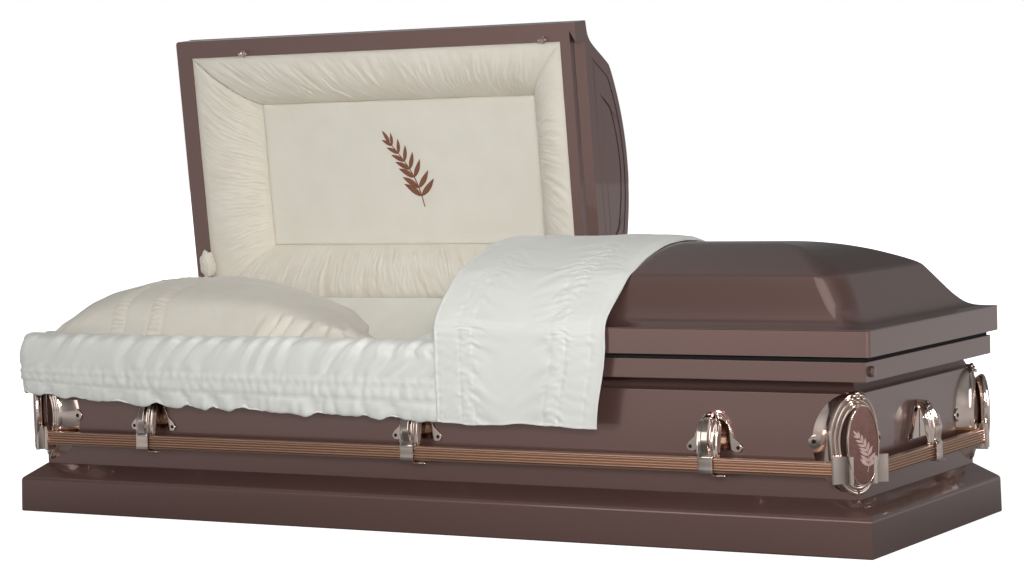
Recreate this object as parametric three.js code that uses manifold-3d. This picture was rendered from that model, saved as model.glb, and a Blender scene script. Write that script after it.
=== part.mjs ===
// Half-couch steel casket: hollow body, two hinged lids, bar handles and cloth interior.
// Millimetres. +X is the foot end, -Y the front, +Z up; the origin is the centre of the underside.

import * as THREE from 'three';
import { mergeVertices } from 'three/addons/utils/BufferGeometryUtils.js';
import Module from 'manifold-3d';

const wasm = await Module();
wasm.setup();

// Overall sizes
const casketLength = 2110;
const casketWidth = 704;
const sheet = 1.2; // steel sheet
const gap = 0.3; // clearance between neighbours
const halfLength = casketLength / 2;
const halfWidth = casketWidth / 2;

// Body section: insets are measured in from the outline of the base
const baseFaceTop = 76;
const baseLean = 1.5;
const baseSlopeTop = 108;
const baseFlange = 22;
const wallInset = 46;
const wallFoot = 84;
const coveRadius = 20;
const railInset = 14;
const railBottom = 340;
const railTop = 380;
const railFlangeInset = 62;
const railLip = 20;
const panRim = 18;
const liningThickness = 8;
const liningFoot = 140;

// Gasket on the rail
const gasketInset = 17;
const gasketWidth = 9;
const gasketTop = 389.7;

// Lids
const lidBottom = 390;
const lidRimTop = 442;
const lidFlange = 42;
const splitHead = 76; // cut end of the head lid
const splitFoot = 80; // cut end of the foot lid
const rebateDepth = 16;
const rebateHeight = 30;
const hingeY = 354;
const hingeZ = 380;
const openAngle = THREE.MathUtils.degToRad(84.3);

// Lid dome: inset, height and corner radius from the rim to the crown
const lidSection = [
  [0, lidBottom, 8],
  [0, lidRimTop - 2, 8],
  [3, lidRimTop, 10],
  [24, 445, 24],
  [36, 449, 34],
  [48, 457.5, 42],
  [63, 475, 50],
  [95, 520, 56],
  [107, 535, 56],
  [121, 543.5, 54],
  [136, 546, 50],
  [200, 567, 30],
  [260, 583, 16],
  [310, 592.5, 8],
  [halfWidth - 4, 597, 2],
];
const cornerSteps = 4;

// Lid interior, in the closed position
const borderTop = 398;
const panelFace = 479;
const panelThickness = 8;
const panelBox = { left: -873, right: -87, front: -183, back: 171 };

// Bedding
const mattressTop = 285;
const mattressEdge = 74;

// Cloth over the rail and the foot lid
const apronTop = 406;
const apronFoot = 246;
const apronBulge = 3;
const throwLeft = 92;
const throwRight = 478;
const throwFoot = 241;
const throwThickness = 16;

// Handles
const barBottom = 155;
const barTop = 185;
const barOut = 43; // outer face from the body wall
const barDepth = 20;
const barEnd = 36; // bar ends short of the body corner by this much
const barRibs = 5;
const lugSpacing = 700;
const lugTop = 276;
const earHole = 4;

// Corner furniture: s across the corner, t out along its diagonal, both from the body corner
const cornerMidZ = 218;
const ringOuter = { s: 52, z: 102 };
const ringInner = { s: 30, z: 70 };
const ringFace = 6;
const ringSag = 16; // the ring's sides lie this much further back than its top
const discHalf = { s: 33, z: 79 };
const discBack = 20;
const discFace = 26;
const medallionHalf = { s: 30.5, z: 76 };
const medallionFace = 28.5;
const wing = { bottom: 143, top: 197 };

const looks = {
  paint: { color: 0x6b5552, roughness: 0.35, metalness: 0.55 },
  bar: { color: 0x8a6a58, roughness: 0.35, metalness: 0.9 },
  plate: { color: 0xc9b8ac, roughness: 0.15, metalness: 1.0 },
  medallion: { color: 0x7a5850, roughness: 0.4, metalness: 0.6 },
  rubber: { color: 0x111111, roughness: 0.8, metalness: 0.0 },
  steel: { color: 0x8c8884, roughness: 0.4, metalness: 0.9 },
  cream: { color: 0xddd6c8, roughness: 0.9, metalness: 0.0 },
  white: { color: 0xd8d8d2, roughness: 0.9, metalness: 0.0 },
};

const mix = THREE.MathUtils.lerp;

const casket = new THREE.Group();
const headLid = new THREE.Group();
const footLid = new THREE.Group();

function addMesh(parent, name, geometry, look) {
  const mesh = new THREE.Mesh(geometry, new THREE.MeshStandardMaterial(looks[look]));
  mesh.name = name;
  parent.add(mesh);
  return mesh;
}

// Solids

function toSolid(geometry) {
  const bare = new THREE.BufferGeometry();
  bare.setAttribute('position', geometry.attributes.position.clone());
  bare.setIndex(geometry.index);
  const merged = mergeVertices(bare, 1e-3);
  return new wasm.Manifold(
    new wasm.Mesh({
      numProp: 3,
      vertProperties: new Float32Array(merged.attributes.position.array),
      triVerts: new Uint32Array(merged.index.array),
    }),
  );
}

function toGeometry(solid) {
  const mesh = solid.getMesh();
  const geometry = new THREE.BufferGeometry();
  geometry.setAttribute('position', new THREE.BufferAttribute(mesh.vertProperties, 3));
  geometry.setIndex(new THREE.BufferAttribute(mesh.triVerts, 1));
  geometry.computeVertexNormals();
  return geometry;
}

function join(geometries) {
  return geometries.map(toSolid).reduce((whole, piece) => whole.add(piece));
}

function box(x0, x1, y0, y1, z0, z1) {
  const geometry = new THREE.BoxGeometry(x1 - x0, y1 - y0, z1 - z0);
  return geometry.translate((x0 + x1) / 2, (y0 + y1) / 2, (z0 + z1) / 2);
}

// Triangles across a flat ring of points, wound as the ring runs
function capTriangles(ring) {
  const normal = new THREE.Vector3();
  ring.forEach((point, k) => normal.add(point.clone().cross(ring[(k + 1) % ring.length])));
  const size = normal.toArray().map(Math.abs);
  const drop = size.indexOf(Math.max(...size));
  const axes = [0, 1, 2].filter((axis) => axis !== drop);
  const flat = ring.map((p) => new THREE.Vector2(p.getComponent(axes[0]), p.getComponent(axes[1])));
  const turn = Math.sign(THREE.ShapeUtils.area(flat));
  return THREE.ShapeUtils.triangulateShape(flat, []).map(([a, b, c]) => {
    const area = THREE.ShapeUtils.area([flat[a], flat[b], flat[c]]);
    return Math.sign(area) === turn ? [a, b, c] : [a, c, b];
  });
}

// A closed body through rings of equal count: capped at both ends, or run round into a loop
function loft(rings, loop = false) {
  const count = rings[0].length;
  const spans = loop ? rings.length : rings.length - 1;
  const triangles = [];
  for (let r = 0; r < spans; r++) {
    const here = r * count;
    const next = ((r + 1) % rings.length) * count;
    for (let k = 0; k < count; k++) {
      const j = (k + 1) % count;
      triangles.push(here + k, here + j, next + j, here + k, next + j, next + k);
    }
  }
  if (!loop) {
    const last = (rings.length - 1) * count;
    capTriangles(rings[0]).forEach(([a, b, c]) => triangles.push(a, c, b));
    capTriangles(rings.at(-1)).forEach(([a, b, c]) => triangles.push(last + a, last + b, last + c));
  }
  const points = rings.flat();
  let volume = 0;
  for (let i = 0; i < triangles.length; i += 3) {
    const [a, b, c] = [0, 1, 2].map((k) => points[triangles[i + k]]);
    volume += a.dot(b.clone().cross(c));
  }
  if (volume < 0) triangles.reverse();
  const geometry = new THREE.BufferGeometry().setFromPoints(points);
  geometry.setIndex(triangles);
  geometry.computeVertexNormals();
  return geometry;
}

// An outline in two axes, pushed along the third from one place to another
function prism(outline, from, to, place) {
  return loft([from, to].map((along) => outline.map(([a, b]) => place(a, b, along))));
}
const alongX = (y, z, x) => new THREE.Vector3(x, y, z);
const outward = (x, z, out) => new THREE.Vector3(x, -out, z);

// Sections

// Rounds the corners of a path whose points carry a radius as their third value
function roundPath(points, steps = 4) {
  const path = [];
  points.forEach(([a, b, radius = 0], k) => {
    const corner = new THREE.Vector2(a, b);
    if (!radius || k === 0 || k === points.length - 1) {
      path.push(corner);
      return;
    }
    const before = new THREE.Vector2(points[k - 1][0], points[k - 1][1]).sub(corner).normalize();
    const after = new THREE.Vector2(points[k + 1][0], points[k + 1][1]).sub(corner).normalize();
    const reach = radius / Math.tan(Math.acos(before.dot(after)) / 2);
    const start = corner.clone().addScaledVector(before, reach);
    const end = corner.clone().addScaledVector(after, reach);
    const curve = new THREE.QuadraticBezierCurve(start, corner, end);
    path.push(...curve.getPoints(steps));
  });
  return path.map((point) => point.toArray());
}

// A path moved sideways by a distance, to its left as it runs
function offsetPath(path, distance) {
  return path.map((point, k) => {
    const sides = [];
    if (k > 0) sides.push([path[k - 1], point]);
    if (k < path.length - 1) sides.push([point, path[k + 1]]);
    const normals = sides.map(([p, q]) => new THREE.Vector2(p[1] - q[1], q[0] - p[0]).normalize());
    const middle = normals.reduce((sum, n) => sum.clone().add(n)).normalize();
    const stretch = distance / middle.dot(normals[0]);
    return [point[0] + middle.x * stretch, point[1] + middle.y * stretch];
  });
}

// The closed outline of a bent sheet whose outer face follows the path
function bentSheet(path, thickness = sheet) {
  return [...path, ...offsetPath(path, thickness).reverse()];
}

// One mitred side of a four-sided frame; outline points are inset and height
function mitredSide(outline, along, out) {
  const ring = (side) => outline.map(([inset, z]) => new THREE.Vector3(side * (along - inset - gap), inset - out, z));
  return loft([ring(-1), ring(1)]);
}

// The four sides of the body, front first, turned about the middle
const sides = ['front', 'foot', 'back', 'head'].map((name, k) => ({
  name,
  turn: (k * Math.PI) / 2,
  along: k % 2 ? halfWidth : halfLength,
  out: k % 2 ? halfLength : halfWidth,
}));

function addSides(prefix, outline, look) {
  sides.forEach(({ name, turn, along, out }) => {
    addMesh(casket, `${prefix}_${name}`, mitredSide(outline, along, out), look).rotation.z = turn;
  });
}

// Base, body and bottom

const basePath = roundPath([
  [baseFlange, 0],
  [0, 0, 2],
  [baseLean, baseFaceTop, 5],
  [wallInset - sheet, baseSlopeTop],
]);
addSides('base', bentSheet(basePath, -sheet), 'paint');

const panelPath = roundPath([
  [wallInset, wallFoot],
  [wallInset, railBottom - 1, coveRadius],
  [railInset, railBottom, 2],
  [railInset, railTop, 2],
  [railFlangeInset, railTop, 2],
  [railFlangeInset, railTop - railLip],
]);
const latchX = [-851, -9];
const latchY = -316;
const latchHole = 9;
const panelOutline = bentSheet(panelPath, -sheet);
sides.forEach(({ name, turn, along, out }) => {
  let geometry = mitredSide(panelOutline, along, out);
  if (name === 'front') {
    const holes = latchX.map((x) => {
      const hole = new THREE.CylinderGeometry(latchHole, latchHole, 3 * sheet, 12);
      return hole.rotateX(Math.PI / 2).translate(x, latchY, railTop - sheet / 2);
    });
    geometry = toGeometry(toSolid(geometry).subtract(join(holes)));
  }
  addMesh(casket, `body_${name}`, geometry, 'paint').rotation.z = turn;
});

const panX = halfLength - baseFlange - gap;
const panY = halfWidth - baseFlange - gap;
const panSolid = toSolid(box(-panX, panX, -panY, panY, 0, panRim)).subtract(
  toSolid(box(sheet - panX, panX - sheet, sheet - panY, panY - sheet, sheet, panRim + 1)),
);
addMesh(casket, 'bottom_panel', toGeometry(panSolid), 'paint');

// Points of a rectangle with round corners, run once round from the front left
function roundRectangle(halfX, halfY, radius, steps = cornerSteps) {
  const points = [];
  [[-1, -1], [1, -1], [1, 1], [-1, 1]].forEach(([sx, sy], corner) => {
    for (let k = 0; k <= steps; k++) {
      const angle = Math.PI + (corner + k / steps) * (Math.PI / 2);
      const x = sx * (halfX - radius) + radius * Math.cos(angle);
      const y = sy * (halfY - radius) + radius * Math.sin(angle);
      points.push([x, y]);
    }
  });
  return points;
}

const gasketRings = [
  [gasketInset, railTop + gap],
  [gasketInset, gasketTop - 3],
  [gasketInset + gasketWidth / 2, gasketTop],
  [gasketInset + gasketWidth, gasketTop - 3],
  [gasketInset + gasketWidth, railTop + gap],
].map(([inset, z]) =>
  roundRectangle(halfLength - inset, halfWidth - inset, 30 - inset).map(([x, y]) => new THREE.Vector3(x, y, z)),
);
addMesh(casket, 'gasket', loft(gasketRings, true), 'rubber');

// Interior of the body

const liningInset = railFlangeInset + gap;
const liningOutline = [
  [liningInset, liningFoot],
  [liningInset, railTop - 1],
  [liningInset + liningThickness * 0.6, railTop + 1],
  [liningInset + liningThickness, railTop - 3],
  [liningInset + liningThickness, liningFoot],
];
addSides('lining', liningOutline, 'cream');

// A soft pad: rings of a rounded rectangle drawn in towards its top and bottom
function pad(cx, cy, halfX, halfY, levels, radius) {
  const rings = levels.map(([z, drawIn]) =>
    roundRectangle(halfX - drawIn, halfY - drawIn, radius).map(([x, y]) => new THREE.Vector3(cx + x, cy + y, z)),
  );
  return loft(rings);
}
const mattressLevels = [
  [sheet + gap, 12],
  [14, 2],
  [mattressTop - 30, 0],
  [mattressTop - 8, 8],
  [mattressTop, 26],
];
const mattress = pad(0, 0, halfLength - mattressEdge, halfWidth - mattressEdge, mattressLevels, 30);
addMesh(casket, 'mattress', mattress, 'cream');

// Pillow, from its foot up: height, then the reach of each edge; its right edge slants back
const pillowLevels = [
  { z: mattressTop + gap, left: -930, right: -330, backRight: -480, front: -200, back: 140 },
  { z: 330, left: -970, right: -210, backRight: -450, front: -264, back: 195 },
  { z: 372, left: -978, right: -178, backRight: -440, front: -276, back: 204 },
  { z: 405, left: -990, right: -150, backRight: -440, front: -286, back: 200 },
  { z: 445, left: -972, right: -300, backRight: -500, front: -268, back: 180 },
  { z: 475, left: -945, right: -420, backRight: -560, front: -235, back: 150 },
  { z: 496, left: -905, right: -520, backRight: -610, front: -180, back: 110 },
  { z: 510, left: -850, right: -620, backRight: -660, front: -110, back: 60 },
];
const pillowSides = 20;
const pillowSquareness = 0.45; // 1 is an ellipse, towards 0 a rectangle
const soften = (value) => Math.sign(value) * Math.abs(value) ** pillowSquareness;
const pillowRings = pillowLevels.map(({ z, left, right, backRight, front, back }) =>
  Array.from({ length: pillowSides }, (_, k) => {
    const angle = (2 * Math.PI * k) / pillowSides;
    const across = (soften(Math.sin(angle)) + 1) / 2;
    const along = (soften(Math.cos(angle)) + 1) / 2;
    const x = mix(left, mix(right, backRight, across), along);
    return new THREE.Vector3(x, mix(front, back, across), z);
  }),
);
addMesh(casket, 'pillow', loft(pillowRings), 'cream');

// Padded cloth over the rail, open below so that it hooks over from above
const apronOutline = [
  [4.5, apronFoot + 6],
  [0, apronFoot],
  [-apronBulge, apronFoot + 6],
  [-apronBulge, 375],
  [4, apronTop - 8],
  [20, apronTop],
  [46, apronTop],
  [58, apronTop - 5],
  [60, gasketTop + 0.6],
  [railInset - 0.6, gasketTop + 0.6],
  [railInset - 0.6, railBottom],
  [4.5, railBottom - 8],
];
const apronFront = apronOutline.map(([inset, z]) => [inset - halfWidth, z]);
const apronStarts = apronOutline.map(([inset]) => inset - halfLength + gap);
const apronFrontRings = [apronStarts, apronOutline.map(() => splitHead + 2)].map((xs) =>
  apronFront.map(([y, z], k) => new THREE.Vector3(xs[k], y, z)),
);
addMesh(casket, 'extendover_front', loft(apronFrontRings), 'white');

const apronBack = 270;
const apronHeadRings = [apronOutline.map(([inset]) => inset - halfWidth + gap), apronOutline.map(() => apronBack)].map(
  (ys) => apronOutline.map(([inset, z], k) => new THREE.Vector3(inset - halfLength, ys[k], z)),
);
addMesh(casket, 'extendover_head', loft(apronHeadRings), 'white');

const drapeOutline = [
  [284, 383],
  [287, 381.5],
  [357, 443],
  [354, 446],
];
addMesh(casket, 'hinge_drape', prism(drapeOutline, 80 - halfLength, splitHead - 6, alongX), 'cream');

// Lids

// One ring of a lid: front edge, rounded end and back edge, closed by the straight cut
function lidRing(end, cut, inset, z, radius) {
  const reach = halfLength - inset;
  const half = halfWidth - inset;
  const ring = [new THREE.Vector3(cut, -half, z)];
  [-1, 1].forEach((sy) => {
    for (let k = 0; k <= cornerSteps; k++) {
      const quarter = ((sy < 0 ? k : cornerSteps - k) / cornerSteps) * (Math.PI / 2);
      const x = end * (reach - radius + radius * Math.sin(quarter));
      const y = sy * (half - radius + radius * Math.cos(quarter));
      ring.push(new THREE.Vector3(x, y, z));
    }
  });
  ring.push(new THREE.Vector3(cut, half, z));
  return ring;
}

function lidShell(end, cut, rebate) {
  const outer = toSolid(loft(lidSection.map(([inset, z, r]) => lidRing(end, cut, inset, z, r))));
  const inside = offsetPath(lidSection, -sheet);
  const wallCut = cut + end * sheet;
  const cavityRings = inside.map(([inset, z], k) => {
    const level = k === 0 ? lidBottom + sheet : z;
    const radius = Math.max(lidSection[k][2] - sheet, 1);
    return lidRing(end, wallCut, Math.min(inset, halfWidth - 5), level, radius);
  });
  let cavity = toSolid(loft(cavityRings));
  const flangeCut = cut + end * lidFlange;
  const mouth = loft([lidBottom - 4, lidBottom + 4].map((z) => lidRing(end, flangeCut, lidFlange, z, 4)));
  let shell = outer;
  if (rebate) {
    const y = halfWidth - 20;
    const step = box(cut - rebateDepth, cut + 1, -y, y, lidBottom - 1, lidBottom + rebateHeight);
    const backed = box(cut - rebateDepth - sheet, cut, -y - sheet, y + sheet, 0, lidBottom + rebateHeight + sheet);
    cavity = cavity.subtract(toSolid(backed));
    shell = shell.subtract(toSolid(step));
  }
  return toGeometry(shell.subtract(cavity).subtract(toSolid(mouth)));
}

addMesh(headLid, 'head_lid', lidShell(-1, splitHead, true), 'paint');
addMesh(footLid, 'foot_lid', lidShell(1, splitFoot, false), 'paint');

// Padded border of the head lid: one section carried round the four mitred corners
const borderOuter = {
  left: lidFlange + 4 - halfLength,
  right: splitHead - lidFlange - 4,
  front: lidFlange + 4 - halfWidth,
  back: halfWidth - lidFlange - 4,
};
const borderSection = [
  [0, lidBottom + sheet + 3],
  [0.22, borderTop],
  [0.62, 424],
  [0.96, panelFace - 12],
  [1, panelFace + panelThickness + 1],
  [0.55, panelFace + panelThickness + 1],
  [0.14, 440],
];
const borderGap = 1;
const borderCorners = [['left', 'front'], ['right', 'front'], ['right', 'back'], ['left', 'back']];
const borderRings = borderCorners.map(([sideX, sideY]) =>
  borderSection.map(([share, z]) => {
    const endX = panelBox[sideX] + Math.sign(borderOuter[sideX] - panelBox[sideX]) * borderGap;
    const endY = panelBox[sideY] + Math.sign(borderOuter[sideY] - panelBox[sideY]) * borderGap;
    return new THREE.Vector3(mix(borderOuter[sideX], endX, share), mix(borderOuter[sideY], endY, share), z);
  }),
);
addMesh(headLid, 'lid_border', loft(borderRings, true), 'cream');
const { left, right, front, back } = panelBox;
addMesh(headLid, 'cap_panel', box(left, right, front, back, panelFace, panelFace + panelThickness), 'cream');

const studSection = [
  [0, 0],
  [9, 0],
  [9, 3],
  [4, 5],
  [4, 11],
  [6, 13],
  [6, 16],
  [0, 18],
].map(([r, h]) => new THREE.Vector2(r, h));
latchX.forEach((x, k) => {
  const stud = new THREE.LatheGeometry(studSection, 10).rotateX(-Math.PI / 2);
  addMesh(headLid, `latch_stud_${k + 1}`, stud, 'plate').position.set(x, latchY, lidBottom - gap);
});

const tieCentre = { x: -1010, y: 204, z: 374 };
const tie = new THREE.SphereGeometry(1, 10, 8).scale(20, 34, 15);
addMesh(headLid, 'lid_tie', tie, 'cream').position.copy(tieCentre);

// Foot lid lining and throw
const boardInset = lidFlange - 8;
const board = box(
  splitFoot + boardInset,
  halfLength - boardInset,
  boardInset - halfWidth,
  halfWidth - boardInset,
  lidBottom + sheet + gap,
  lidBottom + sheet + gap + 6,
);
addMesh(footLid, 'foot_lid_lining', board, 'cream');

const throwBack = 150;
const throwClear = 1.2;
const domePath = lidSection.slice(2).map(([inset, z]) => [inset - halfWidth, z]);
const throwPath = [
  [-halfWidth, throwFoot],
  [-halfWidth, lidRimTop],
  ...domePath.slice(1),
  ...domePath.slice(-4, -1).reverse().map(([y, z]) => [-y, z]),
].filter(([y]) => y < throwBack);
const throwOutline = [
  ...offsetPath(throwPath, throwClear),
  ...offsetPath(throwPath, throwClear + throwThickness).reverse(),
];
addMesh(footLid, 'throw', prism(throwOutline, throwLeft, throwRight, alongX), 'white');

// Hinges: knuckles on the axis, body and lid leaves in turn along each lid
const knuckleRadius = 4.5;
const knuckleSides = 10;
const leafThickness = 2;
const knuckleCount = 5;

const knuckleOutline = Array.from({ length: knuckleSides }, (_, k) => {
  const angle = (2 * Math.PI * (k + 0.5)) / knuckleSides;
  return [hingeY + knuckleRadius * Math.cos(angle), hingeZ + knuckleRadius * Math.sin(angle)];
});

function hingeLeaf(strip, tab, from, to, first) {
  const pitch = (to - from) / knuckleCount;
  const pieces = [box(from, to, ...strip)];
  for (let k = first; k < knuckleCount; k += 2) {
    const x0 = from + k * pitch + gap;
    const x1 = x0 + pitch - 2 * gap;
    pieces.push(prism(knuckleOutline, x0, x1, alongX));
    pieces.push(box(x0, x1, ...tab));
  }
  return toGeometry(join(pieces));
}
const railFace = halfWidth - railInset + gap;
const rimFace = halfWidth + gap;
const bodyStrip = [railFace, railFace + leafThickness, 346, hingeZ - 2];
const bodyTab = [railFace, hingeY - 2, hingeZ - 4, hingeZ - 2];
const lidStrip = [rimFace, rimFace + leafThickness, hingeZ + 12, hingeZ + 36];
const lidTab = [rimFace, rimFace + leafThickness, hingeZ + 2, hingeZ + 14];
const hingeSpans = { head: [120 - halfLength, splitHead - 40], foot: [splitFoot + 40, halfLength - 120] };
Object.entries(hingeSpans).forEach(([name, [from, to]]) => {
  const lid = name === 'head' ? headLid : footLid;
  addMesh(casket, `hinge_body_${name}`, hingeLeaf(bodyStrip, bodyTab, from, to, 0), 'steel');
  addMesh(lid, `hinge_lid_${name}`, hingeLeaf(lidStrip, lidTab, from, to, 1), 'steel');
});

// Handle bars: a section with ribs along its outer face, from the body wall out
const ribDepth = 1.6;
const barFace = Array.from({ length: 2 * barRibs + 1 }, (_, k) => {
  const z = mix(barBottom + 4, barTop - 4, k / (2 * barRibs));
  return [k % 2 ? barOut : barOut - ribDepth, z];
});
const barOutline = [
  [barOut - barDepth, barTop - 5],
  [barOut - barDepth, barBottom + 5],
  [barOut - barDepth + 5, barBottom],
  [barOut - 5, barBottom],
  ...barFace,
  [barOut - 5, barTop],
  [barOut - barDepth + 5, barTop],
];
sides.forEach(({ name, turn, along, out }) => {
  const end = along - wallInset - barEnd;
  const outline = barOutline.map(([o, z]) => [-o - (out - wallInset), z]);
  addMesh(casket, `bar_${name}`, prism(outline, -end, end, alongX), 'bar').rotation.z = turn;
});

// Handle lugs: fluted housing on the body wall, two ears and a strap round the bar
const lugSection = [
  [-1, 0],
  [-1, 0.55],
  [-0.72, 0.82],
  [-0.46, 0.62],
  [-0.28, 1],
  [0.28, 1],
  [0.46, 0.62],
  [0.72, 0.82],
  [1, 0.55],
  [1, 0],
];
const lugLevels = [
  [lugTop, 12, 9],
  [lugTop - 10, 28, 18],
  [lugTop - 26, 38, 26],
  [barTop + 4, 36, barOut - 2],
];
const strapHalf = 14;
const strapThickness = 4;
const earOutline = [
  [30, 252],
  [42, 246],
  [57, 212],
  [61, 202],
  [56, 194],
  [48, 194],
  [30, 204],
];
const earThickness = 3;

function earPlate(side, outline, holeX, holeZ) {
  const plate = prism(outline.map(([x, z]) => [side * x, z]), gap, gap + earThickness, outward);
  const drill = new THREE.CylinderGeometry(earHole, earHole, 4 * earThickness, 8).translate(side * holeX, 0, holeZ);
  return toSolid(plate).subtract(toSolid(drill));
}

function handleLug() {
  const housing = loft(
    lugLevels.map(([z, half, out]) => lugSection.map(([x, o]) => outward(x * half, z, gap + o * out))),
  );
  const strap = prism(
    [
      [barOut - barDepth - strapThickness, barBottom - strapThickness],
      [barOut + strapThickness, barBottom - strapThickness],
      [barOut + strapThickness, barTop + 6],
      [barOut - 6, barTop + 14],
      [barOut - barDepth - strapThickness, barTop + 14],
    ],
    -strapHalf,
    strapHalf,
    (out, z, x) => outward(x, z, out),
  );
  const barHole = prism(
    [
      [barOut - barDepth - gap, barBottom - gap],
      [barOut + gap, barBottom - gap],
      [barOut + gap, barTop + gap],
      [barOut - barDepth - gap, barTop + gap],
    ],
    -2 * strapHalf,
    2 * strapHalf,
    (out, z, x) => outward(x, z, out),
  );
  const ears = [-1, 1].map((side) => earPlate(side, earOutline, 54, 202));
  const whole = ears.reduce((sum, ear) => sum.add(ear), join([housing, strap]));
  return toGeometry(whole.subtract(toSolid(barHole)));
}
sides.forEach(({ name, turn, along, out }) => {
  const places = along === halfLength ? [-lugSpacing, 0, lugSpacing] : [0];
  places.forEach((x, k) => {
    const holder = new THREE.Group();
    holder.rotation.z = turn;
    casket.add(holder);
    addMesh(holder, `lug_${name}_${k + 1}`, handleLug(), 'plate').position.set(x, wallInset - out, 0);
  });
});

// Corner furniture, built with the diagonal along -Y and the body corner at the origin

const ringSteps = 16;
const ringProfile = [
  [1, -60],
  [1, ringFace - 18],
  [0.8, ringFace - 9],
  [0.55, ringFace - 5],
  [0.25, ringFace],
  [0, ringFace - 1],
  [0, -60],
];
const diagonal = (s, t, z) => new THREE.Vector3(s, -t, z);

function ovalRing(half, t, sag = 0) {
  return Array.from({ length: ringSteps }, (_, k) => {
    const angle = (2 * Math.PI * k) / ringSteps;
    const across = Math.sin(angle);
    return diagonal(half.s * across, t - sag * across ** 2, cornerMidZ + half.z * Math.cos(angle));
  });
}

// The corner of the body as a block, grown by the clearance
function bodyCorner() {
  const block = box(-200, gap, -gap, 200, 0, 400);
  return toSolid(block.rotateZ(-Math.PI / 4));
}

function cornerLug() {
  const rings = ringProfile.map(([share, t]) => {
    const half = { s: mix(ringInner.s, ringOuter.s, share), z: mix(ringInner.z, ringOuter.z, share) };
    return ovalRing(half, t, ringSag);
  });
  const outline = [
    [60, cornerMidZ + 18],
    [84, cornerMidZ + 16],
    [98, cornerMidZ + 10],
    [101, cornerMidZ + 2],
    [97, cornerMidZ - 7],
    [84, cornerMidZ - 12],
    [60, cornerMidZ - 16],
  ];
  const ears = [-1, 1].map((side) => {
    const ear = toGeometry(earPlate(side, outline, 92, cornerMidZ + 1));
    return ear.rotateZ(side * (Math.PI / 4));
  });
  return toGeometry(join([loft(rings, true), ...ears]).subtract(bodyCorner()));
}

// The tip that holds the ends of two bars: an oval disc, a fluted wing towards each bar and a stem
function cornerTip() {
  const disc = loft([ovalRing(discHalf, discBack), ovalRing(discHalf, discFace - 2),
    ovalRing({ s: discHalf.s - 1.5, z: discHalf.z - 1.5 }, discFace)]);
  const stem = box(-9, 9, -discBack - 1, -1.5, barBottom, barTop);
  const wingOutline = [
    [-barEnd - 1, barOut - barDepth - 3],
    [-barEnd - 1, barOut + 4],
    [-22, barOut + 2],
    [-14, barOut + 4],
    [-5, barOut - 1],
    [4, 26],
    [-10, barOut - barDepth - 3],
  ];
  const pieces = [disc, stem];
  const sockets = [];
  [-1, 1].forEach((side) => {
    const facing = side * (Math.PI / 4);
    const place = (along, out, z) => new THREE.Vector3(-side * along, -out, z);
    pieces.push(prism(wingOutline, wing.bottom, wing.top, place).rotateZ(facing));
    const barSlot = [
      [-barEnd - 12, barOut - barDepth - gap],
      [-barEnd - 12, barOut + gap],
      [gap - barEnd + 0.2, barOut + gap],
      [gap - barEnd + 0.2, barOut - barDepth - gap],
    ];
    sockets.push(prism(barSlot, barBottom - gap, barTop + gap, place).rotateZ(facing));
  });
  const whole = sockets.reduce((sum, socket) => sum.subtract(toSolid(socket)), join(pieces));
  return toGeometry(whole.subtract(bodyCorner()));
}

function medallion() {
  const flat = { s: medallionHalf.s - 1, z: medallionHalf.z - 1 };
  return loft([
    ovalRing(medallionHalf, discFace + gap),
    ovalRing(medallionHalf, medallionFace - 1),
    ovalRing(flat, medallionFace),
  ]);
}

['front_foot', 'back_foot', 'back_head', 'front_head'].forEach((name, k) => {
  const signX = k < 2 ? 1 : -1;
  const signY = k === 1 || k === 2 ? 1 : -1;
  const corner = new THREE.Group();
  corner.position.set(signX * (halfLength - wallInset), signY * (halfWidth - wallInset), 0);
  corner.rotation.z = Math.PI / 4 + (k * Math.PI) / 2;
  casket.add(corner);
  addMesh(corner, `corner_lug_${name}`, cornerLug(), 'plate');
  addMesh(corner, `corner_tip_${name}`, cornerTip(), 'plate');
  addMesh(corner, `medallion_${name}`, medallion(), 'medallion');
});

// Round cap on the foot-end rail, near the front corner
const capSection = [
  [0, 0],
  [11, 0],
  [11, 4],
  [8.5, 6],
  [8.5, 7],
  [0, 8],
].map(([r, h]) => new THREE.Vector2(r, h));
const railCap = new THREE.LatheGeometry(capSection, 14).rotateZ(-Math.PI / 2);
addMesh(casket, 'rail_cap', railCap, 'plate').position.set(halfLength - railInset + gap, -312, 360);

// Lids turn about the hinge; the head lid stands open
[headLid, footLid].forEach((lid) => {
  lid.children.forEach((mesh) => mesh.position.add(new THREE.Vector3(0, -hingeY, -hingeZ)));
  lid.position.set(0, hingeY, hingeZ);
  casket.add(lid);
});
headLid.rotation.x = -openAngle;

export default casket;
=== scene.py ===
from math import atan2, copysign, cos, exp, pi, radians, sin, sqrt

import bmesh
import bpy
from mathutils import Matrix, Vector, noise


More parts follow.
